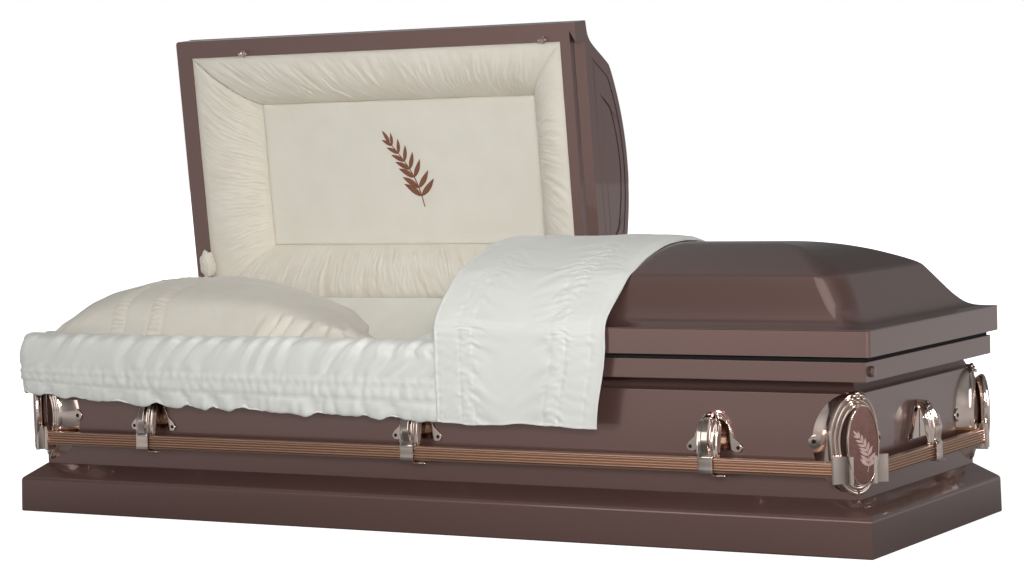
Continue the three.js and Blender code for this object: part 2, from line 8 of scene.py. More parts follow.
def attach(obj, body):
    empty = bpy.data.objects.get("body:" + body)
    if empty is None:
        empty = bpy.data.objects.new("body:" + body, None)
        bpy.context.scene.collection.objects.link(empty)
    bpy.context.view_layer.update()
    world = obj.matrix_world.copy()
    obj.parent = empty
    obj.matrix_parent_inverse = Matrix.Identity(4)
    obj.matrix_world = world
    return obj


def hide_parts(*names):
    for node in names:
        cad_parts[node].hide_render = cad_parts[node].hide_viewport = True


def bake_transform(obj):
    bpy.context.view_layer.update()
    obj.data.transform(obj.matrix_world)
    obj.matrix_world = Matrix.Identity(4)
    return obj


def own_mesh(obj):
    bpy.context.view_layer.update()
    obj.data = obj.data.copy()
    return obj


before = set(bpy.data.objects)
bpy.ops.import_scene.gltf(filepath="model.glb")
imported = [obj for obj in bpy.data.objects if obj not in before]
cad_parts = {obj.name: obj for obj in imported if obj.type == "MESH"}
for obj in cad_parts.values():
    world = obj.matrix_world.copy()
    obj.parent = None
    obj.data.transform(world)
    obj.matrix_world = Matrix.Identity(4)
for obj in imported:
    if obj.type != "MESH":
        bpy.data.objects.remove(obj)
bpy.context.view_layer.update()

scene = bpy.context.scene
mm = 0.001
halfLength, halfWidth = 1055, 352
wall = 46  # the body walls stand back from the outline
railTop, lidBottom = 380, 390
cornerX, cornerY = halfLength - wall, halfWidth - wall


def toLinear(hexText):
    parts = [int(hexText[k:k + 2], 16) / 255 for k in (0, 2, 4)]
    return tuple(p / 12.92 if p <= 0.04045 else ((p + 0.055) / 1.055) ** 2.4 for p in parts) + (1.0,)


def addNode(tree, kind, values=None, links=None, **settings):
    node = tree.nodes.new("ShaderNode" + kind)
    for key, value in settings.items():
        setattr(node, key, value)
    for key, value in (values or {}).items():
        node.inputs[key].default_value = value
    for key, socket in (links or {}).items():
        tree.links.new(socket, node.inputs[key])
    return node


def newMaterial(name, values):
    material = bpy.data.materials.new(name)
    material.use_nodes = True
    tree = material.node_tree
    shader = tree.nodes["Principled BSDF"]
    for key, value in values.items():
        shader.inputs[key].default_value = value
    place = addNode(tree, "TexCoord").outputs["Object"]
    return material, tree, shader, place


def twoTone(tree, shader, place, first, second, sizeMm, detail=2.0, low=0.35, high=0.65):
    cloud = addNode(tree, "TexNoise", {"Scale": 1000 / sizeMm, "Detail": detail}, {"Vector": place})
    share = addNode(tree, "MapRange", {"From Min": low, "From Max": high}, {"Value": cloud.outputs["Fac"]})
    colour = addNode(tree, "MixRGB", {"Color1": toLinear(first), "Color2": toLinear(second)},
                     {"Fac": share.outputs["Result"]})
    tree.links.new(colour.outputs["Color"], shader.inputs["Base Color"])
    return cloud


def toned(name, first, second, sizeMm, values):
    material, tree, shader, place = newMaterial(name, values)
    twoTone(tree, shader, place, first, second, sizeMm)
    return material


def addBump(tree, shader, height, strength, distanceMm):
    bump = addNode(tree, "Bump", {"Strength": strength, "Distance": distanceMm * mm}, {"Height": height})
    tree.links.new(bump.outputs["Normal"], shader.inputs["Normal"])


# Sprayed metallic paint under clear lacquer: a soft broad sheen with a sharper reflection on top
paint = {"dark": "7b5e57", "light": "7f615b", "flakeMm": 2.2}
paintedSteel, tree, shader, place = newMaterial("sprayedMauvePaint", {
    "Metallic": 0.6, "Roughness": 0.34, "Coat Weight": 1.0, "Coat Roughness": 0.02})
twoTone(tree, shader, place, paint["dark"], paint["light"], paint["flakeMm"])

# Polished nickel plate with a rose cast: mirror bright, a little softened by handling
platedMetal = toned("polishedRoseNickel", "e2d2c8", "d8c5ba", 60, {"Metallic": 1.0, "Roughness": 0.09})

# Drawn copper-brown bar stock in four ribs of 5.5 mm: colour lighter on the crests as a painted highlight, darker in
# the grooves as painted shade
barMetal, tree, shader, place = newMaterial("drawnCopperBar", {"Metallic": 0.85, "Roughness": 0.3})
height = addNode(tree, "SeparateXYZ", None, {"Vector": place}).outputs["Z"]
rib = addNode(tree, "MapRange", {"From Min": 0.159, "From Max": 0.181, "To Max": 4},
              {"Value": height}, clamp=False)
crest = addNode(tree, "Math", {1: 0.5}, {0: rib.outputs["Result"]}, operation="PINGPONG")
share = addNode(tree, "MapRange", {"From Max": 0.4}, {"Value": crest.outputs["Value"]})
# painted highlight on the rib crests, painted shade in the grooves between them
colour = addNode(tree, "MixRGB", {"Color1": toLinear("a67f69"), "Color2": toLinear("e4bda4")},
                 {"Fac": share.outputs["Result"]})
tree.links.new(colour.outputs["Color"], shader.inputs["Base Color"])

# Brown lacquer on brass, satin
medallionMetal = toned("lacqueredBrownPlate", "7d5a52", "75534c", 12, {"Metallic": 0.5, "Roughness": 0.38})

# Etched strokes laid bare of lacquer: pale and matt
etchedMetal = toned("etchedPaleMetal", "cfb0a8", "bf9e96", 6, {"Metallic": 0.2, "Roughness": 0.55})

# Extruded sponge rubber: near black, dull
gasketRubber = toned("spongeRubber", "0e0e0e", "171616", 4, {"Roughness": 0.85})

# Screws coloured near black as painted shade: they stand in for the shaded holes in the ears
holeShadeScrewSteel = toned("screwSteelPaintedHoleShade", "2c2826", "383330", 3, {"Metallic": 0.8, "Roughness": 0.45})

# Rolled steel strip of the hinges
hingeSteel = toned("rolledSteel", "8c8884", "7b7773", 8, {"Metallic": 0.9, "Roughness": 0.4})


# Crepe-backed satin: a fine crinkle (drawn at 1.6 mm, coarser than the thread) and a soft sheen
def crepe(name, first, second, weaveMm=1.6, weave=0.12, sheen=0.25, roughness=0.72):
    material, tree, shader, place = newMaterial(name, {
        "Roughness": roughness, "Sheen Weight": sheen, "Sheen Roughness": 0.5, "Specular IOR Level": 0.35})
    twoTone(tree, shader, place, first, second, 70)
    thread = addNode(tree, "TexNoise", {"Scale": 1000 / weaveMm, "Detail": 3.0}, {"Vector": place})
    addBump(tree, shader, thread.outputs["Fac"], weave, 0.4)
    return material


creamCrepe = crepe("creamCrepe", "ede7da", "e9e2d4")
panelCloth = crepe("creamPanelTwill", "ebe7db", "e8e4d7", weave=0.06)
whiteSatin = crepe("coolWhiteSatin", "f2f2ec", "efefe9", weave=0.06, roughness=0.5)
# Drape cloth coloured paler than the other linings as painted light, against the shade it hangs in
litDrapeCloth = crepe("drapeLiningPaintedLight", "f3f1e6", "efede2", weave=0.1)
print("materials made")


def mapGrid(countU, countV, place, bm=None):
    bm = bm or bmesh.new()
    made = bmesh.ops.create_grid(bm, x_segments=countU, y_segments=countV, size=0.5)
    for vert in made["verts"]:
        vert.co = Vector(place(vert.co.x + 0.5, vert.co.y + 0.5)) * mm
    return bm


def newVerts(made):
    return [g for g in made["geom"] if isinstance(g, bmesh.types.BMVert)]


# Quarter turns from the front to another side
def turnTo(bm, turn):
    bmesh.ops.rotate(bm, cent=(0, 0, 0), matrix=Matrix.Rotation(turn * pi / 2, 3, "Z"), verts=bm.verts)


def addPiece(name, bm, material, body=None, nodes=(), sharp=35, thick=0, outward=True, toward=None):
    bmesh.ops.remove_doubles(bm, verts=bm.verts, dist=0.02 * mm)
    bmesh.ops.dissolve_degenerate(bm, dist=0.01 * mm, edges=bm.edges)
    if outward:
        bmesh.ops.recalc_face_normals(bm, faces=bm.faces)
    if toward and sum(f.normal.dot(Vector(toward)) * f.calc_area() for f in bm.faces) < 0:
        bmesh.ops.reverse_faces(bm, faces=bm.faces)
    mesh = bpy.data.meshes.new(name)
    bm.to_mesh(mesh)
    bm.free()
    mesh.materials.append(material)
    mesh.shade_smooth()
    mesh.set_sharp_from_angle(angle=radians(sharp))
    piece = bpy.data.objects.new(name, mesh)
    scene.collection.objects.link(piece)
    if thick:
        solid = piece.modifiers.new("thickness", "SOLIDIFY")
        solid.thickness = thick * mm
        solid.offset = -1
        if sharp < 60:
            flats = piece.modifiers.new("flats", "WEIGHTED_NORMAL")
            flats.keep_sharp = True
    if body:
        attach(piece, body)
    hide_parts(*nodes)
    return piece


# A smooth path through points, by their Catmull-Rom curve
def alongPath(points, share):
    place = share * (len(points) - 1)
    k = min(int(place), len(points) - 2)
    t = place - k
    p = [points[min(max(k + j, 0), len(points) - 1)] for j in (-1, 0, 1, 2)]
    return [0.5 * (2 * b + (c - a) * t + (2 * a - 5 * b + 4 * c - d) * t * t + (3 * b - a - 3 * c + d) * t ** 3)
            for a, b, c, d in zip(*p)]


def mix(a, b, t):
    return a + (b - a) * t


def smooth(a, b, x):
    t = min(max((x - a) / (b - a), 0), 1)
    return t * t * (3 - 2 * t)


sides = [("front", 0, halfLength, halfWidth), ("foot", 1, halfWidth, halfLength),
         ("back", 2, halfLength, halfWidth), ("head", 3, halfWidth, halfLength)]


# Points beside each bend and end, so that the flats between stay flat in the light
def supported(section, radii):
    points = [(section[0], 0)]
    for here, there, near, far in zip(section, section[1:], radii, radii[1:]):
        a, b = Vector(here), Vector(there)
        span = (b - a).length
        if span > 12:
            points += [(a.lerp(b, (near + 0.7) / span), 0), (b.lerp(a, (far + 0.7) / span), 0)]
        points.append((there, far))
    return points


# One pressed side: a strip along the section, its bends rounded, ends mitred
def pressedSide(section, radii, along, out, turn):
    bm = bmesh.new()
    points = supported(section, radii)
    section, radii = [p[0] for p in points], [p[1] for p in points]
    start = [bm.verts.new(Vector((inset - along, inset - out, z)) * mm) for inset, z in section]
    edges = [bm.edges.new(pair) for pair in zip(start, start[1:])]
    made = bmesh.ops.extrude_edge_only(bm, edges=edges)
    for vert in newVerts(made):
        vert.co.x = -vert.co.x
    for (inset, z), radius in zip(section, radii):
        if radius:
            bend = [e for e in bm.edges if e.calc_length() > 0.4 and all(
                abs(v.co.y - (inset - out) * mm) < 1e-6 and abs(v.co.z - z * mm) < 1e-6 for v in e.verts)]
            bmesh.ops.bevel(bm, geom=bend, offset=radius * mm, segments=8, profile=0.5, affect="EDGES", material=-1)
    bmesh.ops.recalc_face_normals(bm, faces=bm.faces)
    if sum(f.normal.y * f.calc_area() for f in bm.faces) > 0:
        bmesh.ops.reverse_faces(bm, faces=bm.faces)
    turnTo(bm, turn)
    return bm


base = {"section": [(22, 0), (0, 0), (1.5, 76), (44.8, 108)], "radii": [0, 3, 5, 0]}
body = {"section": [(wall, 84), (wall, 314), (53, 319), (58, 329), (62, 340), (14, 340), (14, railTop), (62, railTop),
                    (62, 360)],
        "radii": [0, 1.2, 3, 3, 2, 1.5, 2, 2, 0]}
latch = {"x": (-851, -9), "y": -316, "half": 8.5}
sheet = 1.2  # pressed steel, of the body and both lids


# A slot in the rail's top, where a stud of the lid drops in
def cutSlot(bm, x, y, half):
    for at, across in (((x - half, 0, 0), (1, 0, 0)), ((x + half, 0, 0), (1, 0, 0)),
                       ((0, y - half, 0), (0, 1, 0)), ((0, y + half, 0), (0, 1, 0))):
        whole = bm.verts[:] + bm.edges[:] + bm.faces[:]
        bmesh.ops.bisect_plane(bm, geom=whole, plane_co=Vector(at) * mm, plane_no=across)
    middle = Vector((x, y, railTop)) * mm
    inside = [f for f in bm.faces if (f.calc_center_median() - middle).length < 2 * mm]
    bmesh.ops.delete(bm, geom=inside, context="FACES")


for name, turn, along, out in sides:
    for kind, made in (("base", base), ("body", body)):
        bm = pressedSide(made["section"], made["radii"], along - 0.3, out, turn)
        if (kind, name) == ("body", "front"):
            for x in latch["x"]:
                cutSlot(bm, x, latch["y"], latch["half"])
        addPiece(f"{kind}Pressing.{name}", bm, paintedSteel, "shell", [f"{kind}_{name}"], thick=sheet, outward=False)
print("base and body pressed")

# Lids: a section carried round the front, the rounded end and the back, closed at the cut
lid = {"section": [(0, lidBottom, 8), (0, 438, 8), (0.6, 440.6, 8), (3, 442, 10), (24, 445, 24), (36, 449, 34),
                   (48, 457.5, 42), (63, 475, 50), (79, 497.5, 54), (95, 520, 56), (104, 532, 56), (109, 538, 56),
                   (114, 541.6, 55), (121, 545.6, 53), (140, 554, 48), (168, 564.6, 40), (200, 575, 30),
                   (240, 585.1, 20), (280, 592.2, 12), (320, 596.2, 6), (346, 597.1, 2), (352, 597.2, 0)],
       "steps": 96, "corner": 10, "flange": 42, "lip": 7, "footCut": 80, "headCut": 76}


def lidPoint(end, cut, inset, z, radius, share, corner):
    reach, half = halfLength - inset, halfWidth - inset
    steps = 2 * corner + 3
    k = round(share * steps)
    if k == 0 or k == steps:
        return (cut, -half if k == 0 else half, z)
    sy = -1 if k <= corner + 1 else 1
    quarter = (k - 1) / corner if sy < 0 else (steps - 1 - k) / corner
    angle = quarter * pi / 2
    x = reach - radius + radius * sin(angle)
    return (end * x, sy * (half - radius + radius * cos(angle)), z)


def lidShell(end, cut):
    count = 2 * lid["corner"] + 3
    bm = mapGrid(count, lid["steps"], lambda u, v: lidPoint(
        end, cut, *alongPath(lid["section"], v), u, lid["corner"]))
    bmesh.ops.remove_doubles(bm, verts=bm.verts, dist=0.05 * mm)
    atCut = lambda v: abs(v.co.x - cut * mm) < 1e-6
    atRim = lambda v: abs(v.co.z - lidBottom * mm) < 1e-6
    bm.edges.new([v for v in bm.verts if atCut(v) and atRim(v)])
    for inside in (atCut, atRim):
        bmesh.ops.contextual_create(bm, geom=[e for e in bm.edges if all(inside(v) for v in e.verts)])
    bmesh.ops.recalc_face_normals(bm, faces=bm.faces)
    return bm


# The underside is left as a flange round the mouth, with a short lip turned up
def openBelow(bm, end, cut):
    under = [f for f in bm.faces if f.normal.z < -0.9 and f.calc_center_median().z < (lidBottom + 1) * mm]
    bmesh.ops.delete(bm, geom=under, context="FACES_ONLY")
    rim = [e for e in bm.edges if e.is_boundary]
    near, far, half = cut + end * lid["flange"], end * (halfLength - lid["flange"]), halfWidth - lid["flange"]
    corners = ((near, -half), (far, -half), (far, half), (near, half))
    mouth = [bm.verts.new(Vector((x, y, lidBottom)) * mm) for x, y in corners]
    inner = [bm.edges.new((mouth[k - 1], mouth[k])) for k in range(4)]
    bmesh.ops.triangle_fill(bm, use_beauty=True, use_dissolve=False, edges=rim + inner, normal=(0, 0, -1))
    lip = bmesh.ops.extrude_edge_only(bm, edges=inner)
    bmesh.ops.translate(bm, vec=(0, 0, lid["lip"] * mm), verts=newVerts(lip))


def subtract(bm, cutter):
    blocks = []
    for source in (bm, cutter):
        mesh = bpy.data.meshes.new("block")
        source.to_mesh(mesh)
        source.free()
        blocks.append(bpy.data.objects.new("block", mesh))
        scene.collection.objects.link(blocks[-1])
    cut = blocks[0].modifiers.new("cut", "BOOLEAN")
    cut.object, cut.solver = blocks[1], "EXACT"
    whole = bmesh.new()
    whole.from_object(blocks[0], bpy.context.evaluated_depsgraph_get())
    for block in blocks:
        bpy.data.objects.remove(block)
    return whole


def blockOf(lows, highs):
    bm = bmesh.new()
    bmesh.ops.create_cube(bm, size=1)
    for vert in bm.verts:
        vert.co = Vector([mix(lo, hi, c + 0.5) for lo, hi, c in zip(lows, highs, vert.co)]) * mm
    return bm


# The head lid is drawn closed, then turned open on its hinge
hinge = {"pin": Vector((0, 0.354, 0.38)), "open": -84.3}
openTurn = (Matrix.Translation(hinge["pin"]) @ Matrix.Rotation(radians(hinge["open"]), 4, "X")
            @ Matrix.Translation(-hinge["pin"]))


def lifted(bm):
    bmesh.ops.transform(bm, matrix=openTurn, verts=bm.verts)
    return bm


bm = lidShell(1, lid["footCut"])
openBelow(bm, 1, lid["footCut"])
addPiece("footLidShell", bm, paintedSteel, "foot_cover", ["foot_lid"], thick=sheet, sharp=28, outward=False)
rebate = blockOf((60, -334, 380), (78, 334, 409))  # a trough along the head lid's cut edge
for vert in rebate.verts:
    if vert.co.x > 0.07:
        vert.co.y *= 0.9  # its ends are mitred
        vert.co.z = 0.3801 if vert.co.z < 0.4 else 0.434
bm = subtract(lidShell(-1, lid["headCut"]), rebate)
openBelow(bm, -1, lid["headCut"])
addPiece("headLidShell", lifted(bm), paintedSteel, "head_cover", ["head_lid"], thick=sheet, sharp=28, outward=False)


# Two nested D-shaped beads pressed into the cut end of the head lid
def pressedBead(across, flat, top):
    bm = bmesh.new()
    outline = []
    for k in range(81):
        inset, z = alongPath(lid["section"], mix(0.29, 1, min(k, 80 - k) / 40))[:2]
        outline.append((copysign(halfWidth - inset, k - 40) * across, mix(flat, top, max(z - 457, 0) / 140)))
    face = bm.faces.new([bm.verts.new(Vector((lid["headCut"], y, z)) * mm) for y, z in outline])
    if face.normal.x < 0:
        face.normal_flip()
    for width, depth in ((3, 1.3), (1.4, 0.3), (1.4, -0.3), (3, -1.3)):
        bmesh.ops.inset_region(bm, faces=[face], thickness=width * mm, depth=depth * mm,
                               use_even_offset=True, use_boundary=True)
    bmesh.ops.delete(bm, geom=[face], context="FACES")
    return bm


for name, across, flat, top in (("lidEndBeadOuter", 0.9, 458, 585), ("lidEndBeadInner", 0.62, 484, 565)):
    addPiece(name, lifted(pressedBead(across, flat, top)), paintedSteel, "head_cover", sharp=60, outward=False)
print("lids made")


def rough(x, y, z):
    return noise.noise(Vector((x, y, z)))


# Ripples about as wide as short along a, drawn out to long along b, which wander and part
def ripple(a, b, short, long, seed):
    wander = 0.9 * rough(a / (3 * short), b / long, seed + 7.3)
    return rough(a / short + wander, b / long, seed)


def bell(x, width):
    return exp(-(x / width) ** 2)


# Pleats about pitch apart that wander: a wave with one steep flank
def pleat(a, b, pitch, seed, wander=1.8):
    phase = 2 * pi * a / pitch + 2 * wander * rough(a / (2.2 * pitch), b / (1.6 * pitch), seed)
    strength = 0.65 + 0.9 * rough(a / (1.7 * pitch), b / (2.4 * pitch), seed + 4.1)
    return strength * (sin(phase) + 0.3 * sin(2 * phase + 0.6))


# Soft puffs between two stitched rows
def puffs(a, share, pitch, seed):
    phase = pi * a / pitch + 2.4 * rough(a / (3 * pitch), share, seed)
    return abs(sin(phase)) ** 0.7 * sin(pi * min(max(share, 0), 1)) ** 0.6


# The displaced place of a point on a path of (out, up) points, pushed along the path's normal
def pushed(path, share, height):
    here = alongPath(path, share)
    before, after = alongPath(path, max(share - 0.004, 0)), alongPath(path, min(share + 0.004, 1))
    along = Vector((after[0] - before[0], after[1] - before[1])).normalized()
    return here[0] - along.y * height, here[1] + along.x * height


# Padded cloth over the rail, front and head end in one: rolled top, three stitched rows, loose hem
apron = {"path": [(60, 393), (58, 402), (48, 407), (34, 408), (18, 406), (5, 399), (-1, 386), (-3.5, 366), (-4, 340),
                  (-3.5, 310), (-2.5, 280), (-1, 258), (2, 248), (5, 249), (7, 258), (7.5, 290), (8, 325)],
         "corner": 35, "rows": (330, 309, 283), "end": 78, "tail": 30, "back": 270, "turnUp": 46}
apronRuns = (halfLength - apron["corner"] + apron["end"], apron["corner"] * pi / 2,
             apron["back"] + halfWidth - apron["corner"])


def apronHem(x):
    return alongPath([(271,), (258,), (251,), (248,), (244,), (241,)], min(max((x + 1015) / 1079, 0), 1))[0]


def apronPoint(u, v):
    a = u * sum(apronRuns)
    front, arc = apronRuns[:2]
    inset, z = alongPath(apron["path"], v)
    outer = smooth(0.3, 0.45, v) * (1 - smooth(0.72, 0.78, v))
    upper = smooth(326, 350, z)
    top, middle, bottom = apron["rows"]
    low = 1 - smooth(bottom - 14, bottom, z)
    lift = 5 * upper * pleat(a + 0.8 * z, z, 56, 1.0) + 2 * upper * ripple(a + 0.8 * z, z, 15, 60, 2.0)
    above = smooth(middle - 1, middle + 1, z)
    lift += 2.2 * outer * above * puffs(a, (top - z) / (top - middle), 21, 5.0)
    lift += 2.6 * outer * (1 - above) * puffs(a + 9, (middle - z) / (middle - bottom), 27, 6.0)
    lift += 2.6 * outer * ripple(a + 0.4 * z, z, 17, 34, 7.0) * (1 - upper)
    swing = pleat(a, 0, 96, 9.0, 3.0)
    lift += low * (4.5 * swing + 2.5 * ripple(a, z, 18, 70, 8.0))
    lift += 2.0 * rough(a / 130, z / 90, 3.0)
    lift -= outer * 1.3 * sum(bell(z - row, 2.6) for row in apron["rows"])
    inset, z = pushed(apron["path"], v, -lift * (0.35 + 0.65 * smooth(0.1, 0.3, v)) * (1 - smooth(0.8, 0.95, v)))
    z += (apronHem(apron["end"] - a) - 246) * (1 - smooth(250, 345, z))
    z -= (1 - smooth(250, 285, z)) * (2.2 * swing + 4 * rough(a / 60, 0, 11.0))
    z += apron["turnUp"] * max(0, 1 - a / 105) * (1 - smooth(0, 0.16, v))  # corner turned up beside the throw
    if a <= front:
        tail = apron["tail"] * smooth(0.36, 0.44, v) * (1 - smooth(0, 260, a))  # runs on under the throw
        return (apron["end"] + tail - a, inset - halfWidth, z)
    if a >= front + arc:
        return (inset - halfLength, apron["corner"] - halfWidth + a - front - arc, z)
    turn = (a - front) / apron["corner"]
    reach = max(apron["corner"] - inset, 0)
    middle = max(apron["corner"], inset)
    return (middle - halfLength - reach * sin(turn), middle - halfWidth - reach * cos(turn), z)


bm = mapGrid(560, 84, apronPoint)
extendover = addPiece("extendover", bm, whiteSatin, "shell", ["extendover_front", "extendover_head"],
                      sharp=80, thick=1.0, toward=(-0.4, -1, 0.5))
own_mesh(extendover)
print("extendover made")

# Throw over the foot lid: plain satin with a puckered band near each side
throw = {"path": [(-357, 238), (-360, 290), (-361, 345), (-361, 400), (-361, 434), (-354, 454), (-328, 481),
                  (-289, 515), (-251, 545), (-226, 556), (-182, 575), (-130, 591.5), (-70, 604), (0, 610), (50, 608),
                  (100, 601), (150, 588.5)],
         "length": 780, "rowsLeft": (8, 61, 93), "rowsRight": (32, 90, 125)}


def throwPoint(u, v):
    left = mix(82, 79, smooth(0.3, 0.4, v))
    right = mix(461, 487, smooth(0, 0.2, v)) + 6 * smooth(0.75, 1, v)
    x = mix(left, right, u)
    b = v * throw["length"]
    fromLeft, fromRight = x - left, right - x
    lift = 0
    for rows, gapX, seed in ((throw["rowsLeft"], fromLeft, 2.0), (throw["rowsRight"], fromRight, 6.0)):
        near, mid, far = rows
        lift += 1.2 * puffs(b, (gapX - mid) / (far - mid), 16, seed)
        lift += 0.8 * puffs(b + 7, (gapX - near) / (mid - near), 26, seed + 1)
        lift += 3.4 * bell(gapX - far, 16) * ripple(b + 0.4 * gapX, gapX, 10, 22, seed + 2)
        gather = bell(gapX - mid, 15) + 0.6 * bell(gapX - near, 12)
        lift += 2.8 * gather * ripple(b - 0.3 * gapX, gapX, 10, 22, seed + 4)
        drag = smooth(mid, far + 10, gapX) * bell(gapX - far, 52)
        lift += 3.6 * drag * ripple(b + 0.5 * gapX, gapX, 22, 90, seed + 3)
        lift -= 0.8 * sum(bell(gapX - row, 2.2) for row in rows)
    lift += 3.0 * ripple(b, x, 120, 260, 8.0)
    edge = min(fromLeft, fromRight, b)
    lift += 1.2 * bell(edge, 5)
    lift -= 6 * smooth(0.33, 0.45, v) * (1 + 0.6 * smooth(0.6, 0.7, v)) * bell(fromRight, 15)  # lies down on the lid
    y, z = pushed(throw["path"], v, lift)
    z += (4 * rough(x / 60, 3.0, 0) + 3 * sin(x / 40)) * (1 - smooth(0, 0.12, v))
    return (x, y, z)


bm = mapGrid(130, 250, throwPoint)
bmesh.ops.recalc_face_normals(bm, faces=bm.faces)
throwCloth = addPiece("throwCloth", bm, whiteSatin, "foot_cover", ["throw"], sharp=80, thick=2.4, toward=(0, -1, 1))
print("throw made")

# Padded border of the head lid, mitred at its corners, and the plain panel within
border = {"outer": (-1014, 35, -311, 311), "inner": (-872, -88, -182, 170),
          "path": [(0, 396), (0.05, 394), (0.14, 392), (0.3, 392.5), (0.48, 399), (0.66, 412), (0.8, 430), (0.9, 448),
                   (0.97, 466), (1, 480)]}


def borderPoint(u, v):
    left, right, front, back = border["outer"]
    lengths = [right - left, back - front, right - left, back - front]
    a = u * sum(lengths)
    side = 0
    while side < 3 and a > lengths[side]:
        a -= lengths[side]
        side += 1
    share, z = alongPath(border["path"], v)
    fade = smooth(0.04, 0.4, v) * (1 - smooth(0.93, 1, v))
    run = u * sum(lengths)
    across = 150 * v
    slant = run + across * (0.55 if side % 2 else -0.7)
    lift = 2.0 * pleat(slant, across, 13, 1.5, 2.4) * smooth(0.25, 0.6, v) + 3.0 * ripple(slant, across, 20, 60, 4.5)
    lift += 1.8 * ripple(slant, across, 6, 14, 2.5)
    z -= fade * lift
    corners = [(0, 2), (1, 2), (1, 3), (0, 3)]
    ends = []
    for cx, cy in (corners[side], corners[(side + 1) % 4]):
        ends.append([mix(border["outer"][c], border["inner"][c], share) for c in (cx, cy)])
    t = a / lengths[side]
    edge = min(t, 1 - t) * lengths[side]
    z += (3 * bell(edge, 9) + 3.5 * bell(edge, 2.2)) * fade  # seam of the mitre
    return (mix(ends[0][0], ends[1][0], t), mix(ends[0][1], ends[1][1], t), z)


bm = mapGrid(1000, 46, borderPoint)
lidBorder = addPiece("lidBorder", lifted(bm), creamCrepe, "head_cover", ["lid_border"], sharp=80, thick=1.0,
                     toward=(0, -1, 0.1))

panel = {"box": (-873, -87, -183, 171), "face": 476}


def panelPoint(u, v):
    left, right, front, back = panel["box"]
    x, y = mix(left, right, u), mix(front, back, v)
    edge = min(x - left, right - x, y - front, back - y)
    z = panel["face"] + 3.5 * bell(edge, 5) + 0.7 * rough(x / 110, y / 90, 1.0)
    return (x, y, z)


bm = mapGrid(130, 60, panelPoint)
capPanel = addPiece("capPanel", lifted(bm), panelCloth, "head_cover", ["cap_panel"], sharp=80, thick=3.0,
                    toward=(0, -1, 0.1))
print("lid interior made")

# Pillow: levels of squared-off ovals, blown up as cloth, then puckered and creased
pillow = {"levels": [(286, -925, -330, -480, -205, 140, 0.45), (318, -980, -205, -452, -266, 196, 0.4),
                     (350, -992, -172, -440, -280, 206, 0.36), (385, -1006, -146, -436, -292, 206, 0.22),
                     (402, -1036, -132, -440, -297, 202, 0.17), (425, -1012, -235, -470, -276, 190, 0.34),
                     (455, -982, -345, -520, -248, 168, 0.46), (478, -944, -440, -575, -210, 135, 0.54),
                     (494, -898, -520, -620, -160, 95, 0.6), (503, -850, -595, -652, -112, 62, 0.65)],
          "crown": (-750, -30), "low": 286, "voxel": 6, "swell": 10, "frames": 20}


def pillowPoint(u, v):
    z, left, right, backRight, front, back, square = alongPath(pillow["levels"], min(v * 1.08, 1))
    shrink = 1 - smooth(0.925, 1, v) * 0.999
    angle = u * 2 * pi
    soften = lambda c: copysign(abs(c) ** square, c)
    across, along = (soften(sin(angle)) + 1) / 2, (soften(cos(angle)) + 1) / 2
    x = mix(left, mix(right, backRight, across), along)
    y = mix(front, back, across)
    return (mix(pillow["crown"][0], x, shrink), mix(pillow["crown"][1], y, shrink), z + 5 * (1 - shrink))


def closeSheet(bm):
    bmesh.ops.remove_doubles(bm, verts=bm.verts, dist=0.3 * mm)
    bmesh.ops.holes_fill(bm, edges=[e for e in bm.edges if e.is_boundary], sides=0)
    bmesh.ops.triangulate(bm, faces=[f for f in bm.faces if len(f.verts) > 4])
    bmesh.ops.recalc_face_normals(bm, faces=bm.faces)
    return bm


# Blows a closed form up as stuffed cloth and hands back its settled shape
def inflate(bm, voxelMm, swellMm, frames):
    mesh = bpy.data.meshes.new("stuffing")
    bm.to_mesh(mesh)
    bm.free()
    form = bpy.data.objects.new("stuffing", mesh)
    scene.collection.objects.link(form)
    remesh = form.modifiers.new("remesh", "REMESH")
    remesh.mode, remesh.voxel_size = "VOXEL", voxelMm * mm
    grown = bpy.data.meshes.new_from_object(form.evaluated_get(bpy.context.evaluated_depsgraph_get()))
    form.modifiers.clear()
    form.data = grown
    start = [v.co.copy() for v in grown.vertices]
    cloth = form.modifiers.new("cloth", "CLOTH")
    cloth.settings.use_pressure = True
    cloth.settings.uniform_pressure_force = 4
    cloth.settings.effector_weights.gravity = 0
    cloth.settings.quality = 4
    cloth.point_cache.frame_end = frames
    for step in range(1, frames + 1):
        scene.frame_set(step)
    settled = form.evaluated_get(bpy.context.evaluated_depsgraph_get()).to_mesh()
    moved = [v.co.copy() for v in settled.vertices]
    bpy.data.objects.remove(form)
    bm = bmesh.new()
    bm.from_mesh(grown)
    for vert, a, b in zip(bm.verts, start, moved):
        step = b - a
        vert.co = a + step * min(1, swellMm * mm / max(step.length, 1e-9))
    scene.frame_set(1)
    return bm


